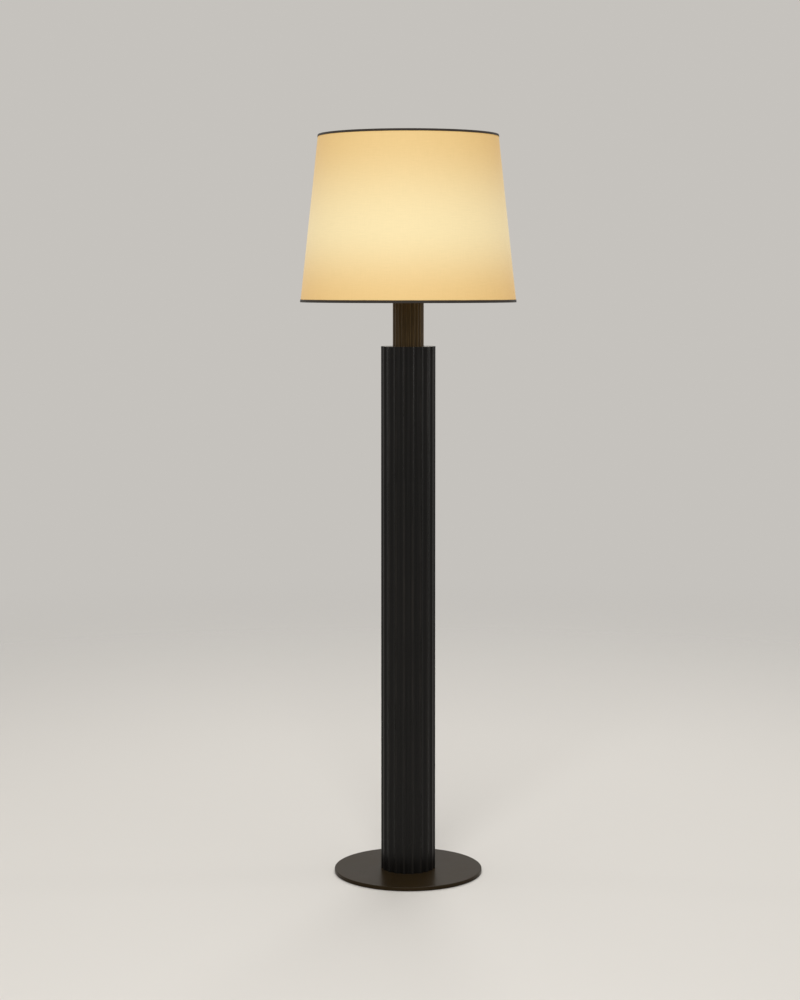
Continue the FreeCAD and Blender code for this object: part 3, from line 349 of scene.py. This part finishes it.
def coated(name, colour, second, roughness, grain, depth, cloud_scale=14.0, **sockets):
    """A fine grain, so many cells to the metre, and a faint change of tone and gloss."""
    look = Look(name, colour, roughness, **sockets)
    fine = look.noise(look.place(), grain, roughness=0.55)
    cloud = look.noise(look.place(), cloud_scale, detail=4.0, roughness=0.6)
    look.clouded(cloud, 0.35, 0.7, colour, second)
    both = look.weighed(fine, 0.4, cloud, 0.6)
    look.feed("Roughness", look.spread(both, 0.35, 0.65, roughness * 0.9, roughness * 1.12))
    look.bump(fine, depth)
    return look.material


# ---------------------------------------------------------------------------------------------
# Cloth, lining, ribbon and glass. The glow stands for the lit bulb behind the cloth.

GLOW_HOT = (0.507, 0.384, 0.20)
GLOW_LOW = (0.41, 0.192, 0.012)
GLOW_HIGH = (0.39, 0.185, 0.010)
CLOTH = (0.42, 0.375, 0.23)
CLOTH_DEEP = (0.405, 0.363, 0.217)
DOUBLE_CLOTH = 0.84
THREAD_WIDTH = 0.9 * MM
SLUB_STRETCH = (38, 520)
ROD_STRETCH = (560, 30)
WEAVE_DEPTH = 0.08 * MM
WEAVE_STRENGTH = 0.7


def lit_profile(look, hot, low, high):
    """The glow of the lamp on the shade's wall: strongest level with the bulb, weaker towards both edges."""
    z = look.split()[2]
    height = look.spread(z, SHADE_BOTTOM, SHADE_TOP, 0, 1)
    middle = (BULB_CENTRE - SHADE_BOTTOM) / SHADE_HEIGHT
    return look.ramp(height, [(0, low), (middle, hot), (1, high)])


def shade_cloth(name):
    """Plain-woven cloth with uneven threads both ways, and less light where it lies double."""
    look = Look(name, CLOTH, 0.86, Sheen_Weight=0.12, Sheen_Roughness=0.5, Emission_Strength=1.0)
    slubs = look.rolled_noise(SLUB_STRETCH, detail=4.0, roughness=0.6)
    rods = look.rolled_noise(ROD_STRETCH, detail=4.0, roughness=0.6)
    uneven = look.weighed(slubs, 0.6, rods, 0.4)
    look.clouded(uneven, 0.36, 0.64, CLOTH_DEEP, CLOTH)
    across, up = look.rolled_out()
    from_join = look.maths("SUBTRACT", math.pi * ROLL_RADIUS, look.maths("ABSOLUTE", across))
    lapped = look.spread(from_join, LAP / 2 - CUT_EDGE, LAP / 2 + CUT_EDGE, DOUBLE_CLOTH, 1)
    thin = look.maths("MULTIPLY", look.spread(uneven, 0.36, 0.64, 0.965, 1.02), lapped)
    glow = lit_profile(look, GLOW_HOT, GLOW_LOW, GLOW_HIGH)
    look.feed("Emission Color", look.mixed(1.0, glow, look.joined(thin, thin, thin), "MULTIPLY"))
    weave = look.maths("MULTIPLY", look.ripple(across, THREAD_WIDTH), look.ripple(up, THREAD_WIDTH))
    look.bump(look.weighed(weave, 0.3, uneven, 1), WEAVE_DEPTH, WEAVE_STRENGTH)
    return look.material


LINING = (0.74, 0.69, 0.56)
LINING_DEEP = (0.725, 0.675, 0.545)
LINING_PALE = (0.75, 0.70, 0.57)
LINING_GLOW_HOT = (0.33, 0.24, 0.11)
LINING_GLOW_LOW = (0.26, 0.17, 0.06)
LINING_GLOW_HIGH = (0.18, 0.115, 0.04)
MOTTLE_DEPTH = 0.03 * MM


def shade_lining(name):
    look = Look(name, LINING, 0.55, Emission_Strength=1.0)
    across, up = look.rolled_out()
    mottle = look.noise(look.joined(across, up), 70.0)
    look.clouded(mottle, 0.4, 0.6, LINING_DEEP, LINING_PALE)
    look.feed("Roughness", look.spread(mottle, 0.3, 0.7, 0.52, 0.58))
    # Painted light: the lining's emission stands for the bulb's light on the inside of the shade, strongest
    # level with the bulb.
    look.feed("Emission Color", lit_profile(look, LINING_GLOW_HOT, LINING_GLOW_LOW, LINING_GLOW_HIGH))
    look.bump(mottle, MOTTLE_DEPTH)
    return look.material


RIBBON = (0.015, 0.01, 0.006)
RIBBON_DEEP = (0.009, 0.006, 0.0035)
RIBBON_PALE = (0.022, 0.015, 0.009)
RIB_PITCH = 1.1 * MM
RIB_DEPTH = 0.1 * MM
FUZZ_STRETCH = (300, 900)


def tape_cloth(name):
    """Dark ribbon with fine ribs across its width."""
    look = Look(name, RIBBON, 0.8, Sheen_Weight=0.06, Sheen_Roughness=0.4)
    ribs = look.ripple(look.rolled_out()[0], RIB_PITCH)
    fuzz = look.rolled_noise(FUZZ_STRETCH)
    look.clouded(fuzz, 0.35, 0.65, RIBBON_DEEP, RIBBON_PALE)
    look.feed("Roughness", look.spread(fuzz, 0.3, 0.7, 0.72, 0.9))
    look.bump(look.weighed(ribs, 0.5, fuzz, 1), RIB_DEPTH)
    return look.material


OPAL = (0.34, 0.32, 0.28)
BULB_LIGHT = (0.78, 0.60, 0.33)
BULB_FOOT_LIGHT = (0.50, 0.33, 0.14)
BULB_NECK = 0.45
FROST_DEPTH = 0.02 * MM


def opal_glass(name):
    """Frosted glass that glows, less so at its foot."""
    look = Look(name, OPAL, 0.3, Coat_Weight=0.3, Emission_Strength=1.0)
    frost = look.noise(look.place(), 220.0)
    height = look.spread(look.split()[2], BULB_LOW.z, BULB_HIGH.z, 0, 1)
    glow = look.ramp(height, [(0, BULB_FOOT_LIGHT), (BULB_NECK, BULB_LIGHT), (1, BULB_LIGHT)])
    look.feed("Emission Color", glow)
    look.feed("Roughness", look.spread(frost, 0.3, 0.7, 0.26, 0.4))
    look.bump(frost, FROST_DEPTH)
    return look.material


# ---------------------------------------------------------------------------------------------
# Finishes, by the record's slots

FINISHES = {
    "column_finish": (drawn_metal, dict(
        colour=(0.0022, 0.002, 0.0018), streak=(0.0042, 0.0038, 0.0034), worn=(0.016, 0.014, 0.012),
        roughness=0.28, outer_radius=COLUMN_RADIUS, Specular_IOR_Level=0.18,
    )),
    "tube_finish": (drawn_metal, dict(
        colour=(0.022, 0.0135, 0.005), streak=(0.050, 0.031, 0.011), worn=(0.12, 0.078, 0.03),
        roughness=0.34, outer_radius=TUBE_RADIUS, Metallic=0.85,
    )),
    # The cap's lighter outer rim is a painted highlight: the bulb's light glinting off that edge.
    "cap_finish": (turned_metal, dict(
        colour=(0.045, 0.036, 0.024), dark=(0.034, 0.027, 0.018),
        roughness=0.24, rim=(CAP_RADIUS - RIM_WIDTH, (0.13, 0.105, 0.075)),
    )),
    "turned_aluminium": (turned_metal, dict(
        colour=(0.74, 0.75, 0.76), dark=(0.6, 0.61, 0.62), roughness=0.3, Metallic=1.0,
    )),
    "plate_finish": (coated, dict(
        colour=(0.019, 0.012, 0.0048), second=(0.022, 0.014, 0.0056),
        roughness=0.3, grain=1400.0, depth=0.004 * MM, IOR=1.15,
    )),
    "pad_rubber": (coated, dict(
        colour=(0.02, 0.02, 0.02), second=(0.03, 0.03, 0.029), roughness=0.85, grain=700.0, depth=0.08 * MM,
    )),
    "blackened_steel": (coated, dict(
        colour=(0.045, 0.045, 0.048), second=(0.075, 0.07, 0.066),
        roughness=0.38, grain=1500.0, depth=0.02 * MM, cloud_scale=300.0, Metallic=0.8,
    )),
    "grommet_rubber": (coated, dict(
        colour=(0.014, 0.014, 0.014), second=(0.022, 0.022, 0.021),
        roughness=0.7, grain=1200.0, depth=0.04 * MM, cloud_scale=80.0,
    )),
    "bearing_plastic": (coated, dict(
        colour=(0.025, 0.025, 0.026), second=(0.035, 0.035, 0.035),
        roughness=0.45, grain=1200.0, depth=0.02 * MM, cloud_scale=60.0,
    )),
    "plated_steel": (coated, dict(
        colour=(0.62, 0.60, 0.56), second=(0.5, 0.48, 0.43),
        roughness=0.28, grain=1500.0, depth=0.01 * MM, cloud_scale=200.0, Metallic=1.0,
    )),
    "holder_brass": (coated, dict(
        colour=(0.72, 0.52, 0.24), second=(0.65, 0.455, 0.195),
        roughness=0.26, grain=1500.0, depth=0.006 * MM, cloud_scale=40.0, Metallic=1.0,
    )),
    "porcelain": (coated, dict(
        colour=(0.82, 0.8, 0.75), second=(0.86, 0.84, 0.8),
        roughness=0.2, grain=400.0, depth=0.03 * MM, cloud_scale=60.0, Coat_Weight=0.4,
    )),
    "insulating_board": (coated, dict(
        colour=(0.3, 0.21, 0.12), second=(0.22, 0.15, 0.085),
        roughness=0.8, grain=900.0, depth=0.08 * MM, cloud_scale=150.0,
    )),
    "knob_plastic": (coated, dict(
        colour=(0.016, 0.015, 0.015), second=(0.03, 0.026, 0.024),
        roughness=0.22, grain=900.0, depth=0.01 * MM, cloud_scale=160.0,
    )),
    "white_wire": (coated, dict(
        colour=(0.78, 0.76, 0.72), second=(0.83, 0.82, 0.79),
        roughness=0.38, grain=800.0, depth=0.04 * MM, cloud_scale=60.0,
    )),
    "bulb_metal": (coated, dict(
        colour=(0.78, 0.78, 0.77), second=(0.66, 0.66, 0.65),
        roughness=0.3, grain=1200.0, depth=0.01 * MM, cloud_scale=200.0, Metallic=1.0,
    )),
    "black_glass": (coated, dict(
        colour=(0.012, 0.012, 0.013), second=(0.02, 0.02, 0.02),
        roughness=0.12, grain=900.0, depth=0.01 * MM, cloud_scale=200.0,
    )),
    "shade_cloth": (shade_cloth, {}),
    "shade_lining": (shade_lining, {}),
    "tape_cloth": (tape_cloth, {}),
    "opal_glass": (opal_glass, {}),
}


def finish_nodes():
    """Gives every CAD node the finish of its slot. Returns the materials by slot."""
    made = {slot: build(slot, **values) for slot, (build, values) in FINISHES.items()}
    for part in frame["record"]["subparts"]:
        piece = frame["nodes"][part["node"]]
        material = made[part["material_slot"]]
        if not piece.material_slots:
            piece.data.materials.append(material)
        for place in piece.material_slots:
            place.material = material
    return made


# ---------------------------------------------------------------------------------------------
# Meshes


def smooth_object(name, data):
    data.polygons.foreach_set("use_smooth", [True] * len(data.polygons))
    piece = bpy.data.objects.new(name, data)
    bpy.context.scene.collection.objects.link(piece)
    return piece


def finished_mesh(name, mesh):
    """An object from a bmesh, which is freed."""
    data = bpy.data.meshes.new(name)
    mesh.to_mesh(data)
    mesh.free()
    return smooth_object(name, data)


def swept_ring(name, turns, section):
    """A closed section carried round the upright axis. section(turn) gives its radii and heights."""
    rows = [section(turn) for turn in turns]
    count = len(rows[0])
    points = []
    for turn, row in zip(turns, rows):
        points += [(radius * math.sin(turn), -radius * math.cos(turn), height) for radius, height in row]
    faces = []
    for i in range(len(turns)):
        j = (i + 1) % len(turns)
        for k in range(count):
            m = (k + 1) % count
            faces.append((i * count + k, j * count + k, j * count + m, i * count + m))
    data = bpy.data.meshes.new(name)
    data.from_pydata(points, [], faces)
    return smooth_object(name, data)


def even_turns(count):
    return [2 * math.pi * step / count - math.pi for step in range(count)]


def dress(piece, material, sharp=None):
    """Gives a piece of the head its material. Edges of more than sharp degrees stay crisp."""
    piece.data.materials.append(material)
    if sharp is not None:
        piece.data.set_sharp_from_angle(angle=math.radians(sharp))
    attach(piece, "head")


# ---------------------------------------------------------------------------------------------
# The floor

FLOOR_RADIUS = 5.0
FLOOR_SIDES = 96
FLOOR_CLEAR_FROM = 0.9
FLOOR_CLEAR_TO = 4.4
FLOOR_COLOUR = (0.66, 0.64, 0.61)
FLOOR_ROUGHNESS = 0.75


def make_floor():
    """A plain pale floor that fades into the backdrop far from the lamp and hides nothing from below."""
    mesh = bmesh.new()
    bmesh.ops.create_circle(mesh, cap_ends=True, segments=FLOOR_SIDES, radius=FLOOR_RADIUS)
    floor = finished_mesh("floor", mesh)
    look = Look("pale_floor", FLOOR_COLOUR, FLOOR_ROUGHNESS)
    cover = look.spread(look.radius(), FLOOR_CLEAR_FROM, FLOOR_CLEAR_TO, 1, 0, smooth=True)
    upper_side = look.maths("SUBTRACT", 1, look.add("NewGeometry").outputs["Backfacing"])
    look.feed("Alpha", look.maths("MULTIPLY", cover, upper_side))
    floor.data.materials.append(look.material)


# ---------------------------------------------------------------------------------------------
# The shade's cloth, glued round the lining with a lapped seam at the rear

LAP_STEP = 0.45 * MM
LAP_RAMP = 4 * MM
# Where steps are added, as ways from the rear join: on the side that ramps up, and on the cut side
RAMP_SIDE = (LAP / 2 - 2 * MM, LAP / 2, LAP / 2 + 1 * MM, LAP / 2 + 2 * MM, LAP / 2 + LAP_RAMP)
CUT_SIDE = (0, LAP / 2 - 1 * MM, LAP / 2, LAP / 2 + CUT_EDGE, LAP / 2 + 1 * MM)
LEAST_TURN = 0.001
CLOTH_ROWS = 40
CLOTH_TURNS = 240
CLOTH_LIFT = 0.02 * MM
HAND_WAVE = 0.18 * MM
WAVES_ROUND = 4
WAVES_UP = 14
CLOTH_CREASE = 40


def lap_height(turn):
    """How far the cloth stands out where one end lies on the other, at the rear of the shade."""
    past_lap = (math.pi - abs(turn)) * ROLL_RADIUS - LAP / 2
    run_out = LAP_RAMP if turn > 0 else CUT_EDGE
    return LAP_STEP * min(1, max(0, 1 - past_lap / run_out))


def seam_turns(count):
    """Even steps round the shade, with closer ones at both sides of the lap."""
    close = [math.pi - way / ROLL_RADIUS for way in RAMP_SIDE]
    close += [-math.pi + way / ROLL_RADIUS for way in CUT_SIDE]
    even = [turn for turn in even_turns(count) if all(abs(turn - other) > LEAST_TURN for other in close)]
    return sorted(even + close)


def cloth_cover(material):
    """The cover with its lapped seam and the faint waves of cloth laid on by hand."""
    heights = [SHADE_BOTTOM + SHADE_HEIGHT * row / CLOTH_ROWS for row in range(CLOTH_ROWS + 1)]

    def section(turn):
        round_point = (WAVES_ROUND * math.sin(turn), WAVES_ROUND * math.cos(turn))
        outside = []
        for height in heights:
            wave = HAND_WAVE * (noise.noise((*round_point, height * WAVES_UP)) - 1)
            outside.append((shade_radius(height) + lap_height(turn) + wave, height))
        inside = [(shade_radius(height) - COVER_THICK + CLOTH_LIFT, height) for height in reversed(heights)]
        return outside + inside

    cover = swept_ring("cloth_cover", seam_turns(CLOTH_TURNS), section)
    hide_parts("shade_cover")
    dress(cover, material, CLOTH_CREASE)
    return cover


# ---------------------------------------------------------------------------------------------
# Ribbon over both edges of the shade

TAPE_TURNS = 216
TAPE_CORNER = 0.7 * MM
CORNER_STEPS = 5
TAPE_WAIST = 0.6
TUCK = 3.2 * MM
FOLD_TURN = 165
FOLD_STEPS = 12
TAPE_STRAY = 0.18 * MM
STRAYS_ROUND = 9
STRAYS_UP = 20
OUTSIDE_INSET = 0.5 * MM
TAPE_CREASE = 50


def tape_path(width):
    """The ribbon's middle line, from its outer end over the edge and round the wire, as inset and depth."""
    half = TAPE_THICK / 2
    path = [(-half, width), (-half, width * TAPE_WAIST), (-half, TAPE_CORNER)]
    for step in range(1, CORNER_STEPS + 1):
        swing = math.pi / 2 * step / CORNER_STEPS
        inset = -half + TAPE_CORNER * (1 - math.cos(swing))
        path.append((inset, TAPE_CORNER - (TAPE_CORNER + half) * math.sin(swing)))
    reach = WIRE_RADIUS + WIRE_GAP + half
    for step in range(FOLD_STEPS + 1):
        swing = math.radians(-90 + FOLD_TURN * step / FOLD_STEPS)
        path.append((WIRE_INSET + reach * math.cos(swing), WIRE_RISE + reach * math.sin(swing)))
    path.append((COVER_THICK + LINING_THICK + half, 2 * WIRE_RISE + TUCK))
    return path


def band(path, thick):
    """A closed outline round an open path, half the thickness to each side."""
    one, other = [], []
    for index, (x, y) in enumerate(path):
        before, after = path[max(index - 1, 0)], path[min(index + 1, len(path) - 1)]
        along = Vector((after[0] - before[0], after[1] - before[1])).normalized()
        one.append((x - along.y * thick / 2, y + along.x * thick / 2))
        other.append((x + along.y * thick / 2, y - along.x * thick / 2))
    return one + other[::-1]


def edge_ribbon(name, material, edge, upwards, width):
    """Ribbon folded over one edge of the shade. upwards is 1 at the lower edge and -1 at the upper one."""
    outline = band(tape_path(width), TAPE_THICK)

    def section(turn):
        place = (STRAYS_ROUND * math.sin(turn), STRAYS_ROUND * math.cos(turn), edge * STRAYS_UP)
        stray = TAPE_STRAY * noise.noise(place)
        row = []
        for inset, depth in outline:
            outside = 1 if inset < OUTSIDE_INSET else 0
            height = edge + upwards * (depth + outside * stray * depth / width)
            row.append((shade_radius(height) - inset + outside * lap_height(turn), height))
        return row if upwards > 0 else row[::-1]

    ribbon = swept_ring(name, seam_turns(TAPE_TURNS), section)
    dress(ribbon, material, TAPE_CREASE)
    return ribbon


def make_shade(cloth, tape):
    cover = cloth_cover(cloth)
    low = edge_ribbon("bottom_ribbon", tape, SHADE_BOTTOM, 1, BOTTOM_TAPE)
    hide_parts("bottom_tape")
    high = edge_ribbon("top_ribbon", tape, SHADE_TOP, -1, TOP_TAPE)
    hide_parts("top_tape")


# ---------------------------------------------------------------------------------------------
# The lampholder's shell

THREAD_PITCH = 2.5 * MM
THREAD_DEPTH = 0.7 * MM
THREAD_ROWS = 120
FADE_ROWS = 6
SHELL_TURNS = 96
SHELL_WALL = 1.2 * MM
SHELL_GAP = 0.05 * MM
SHELL_SPIGOT = 6 * MM
MOUTH_LIP = 3 * MM
SHELL_CREASE = 60


def threaded_shell(material):
    """The lampholder's outer shell with the thread that the shade rings turn on."""
    outer = SHELL_HIGH.x
    spigot = outer - SHELL_WALL - SHELL_GAP
    bore = spigot - SHELL_WALL
    foot = SHELL_LOW.z + SHELL_SPIGOT
    top = SHELL_HIGH.z

    def section(turn):
        row = [(bore, SHELL_LOW.z), (spigot, SHELL_LOW.z), (spigot, foot)]
        for step in range(THREAD_ROWS + 1):
            height = foot + (top - foot) * step / THREAD_ROWS
            fade = min(1, step / FADE_ROWS, (THREAD_ROWS - step) / FADE_ROWS)
            phase = 2 * math.pi * (height - foot) / THREAD_PITCH - turn
            row.append((outer - THREAD_DEPTH * fade * (0.5 - 0.5 * math.cos(phase)), height))
        row += [(bore - MOUTH_LIP, top), (bore - MOUTH_LIP, top - SHELL_WALL), (bore, top - SHELL_WALL)]
        return row

    shell = swept_ring("threaded_shell", even_turns(SHELL_TURNS), section)
    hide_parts("lampholder_shell")
    dress(shell, material, SHELL_CREASE)


# ---------------------------------------------------------------------------------------------
# Both ends of the wire frame's arms. A bead's size is across the arm, along it and upwards.

ARM_TURNS = (90, 210, 330)
LUMPINESS = 0.16
LUMP_SCALE = 2.2
LUMP_SHIFT = 90
WELD_RADIUS = 31.5 * MM
WELD_SIZE = (3.6 * MM, 2.2 * MM, 1.7 * MM)
WRAP_INSET = 0.9 * MM
WRAP_RISE = 0.5 * MM
WRAP_SIZE = (6.5 * MM, 3.3 * MM, 3.1 * MM)


def add_bead(mesh, centre, across, size):
    """One uneven bead."""
    made = bmesh.ops.create_icosphere(mesh, subdivisions=3, radius=1)
    turn = Vector((1, 0, 0)).rotation_difference(across)
    for corner in made["verts"]:
        lumps = 1 + LUMPINESS * noise.noise(corner.co * LUMP_SCALE + centre * LUMP_SHIFT)
        corner.co = turn @ (corner.co * Vector(size) * lumps) + centre


def beads_at_arms(name, radius, level, size):
    """The same bead at every arm."""
    mesh = bmesh.new()
    for degrees in ARM_TURNS:
        outwards = Vector((math.cos(math.radians(degrees)), math.sin(math.radians(degrees)), 0))
        across = Vector((-outwards.y, outwards.x, 0))
        add_bead(mesh, outwards * radius + Vector((0, 0, level)), across, size)
    return finished_mesh(name, mesh)


def carrier_welds(material):
    """Welds where the arms meet the centre ring."""
    welds = beads_at_arms("carrier_welds", WELD_RADIUS, CARRIER_HIGH.z - WIRE_RADIUS, WELD_SIZE)
    dress(welds, material)


def arm_wraps(material):
    """The ribbon drawn round each arm's end where it comes off the bottom wire."""
    radius = CARRIER_HIGH.x - WIRE_RADIUS - WRAP_INSET
    wraps = beads_at_arms("arm_wraps", radius, CARRIER_LOW.z + WIRE_RADIUS + WRAP_RISE, WRAP_SIZE)
    dress(wraps, material)


# ---------------------------------------------------------------------------------------------

bpy.context.scene.view_settings.view_transform = "Standard"
make_camera()
make_world()
make_lamps()
make_floor()
finishes = finish_nodes()
make_shade(finishes["shade_cloth"], finishes["tape_cloth"])
threaded_shell(finishes["holder_brass"])
carrier_welds(finishes["white_wire"])
arm_wraps(finishes["tape_cloth"])
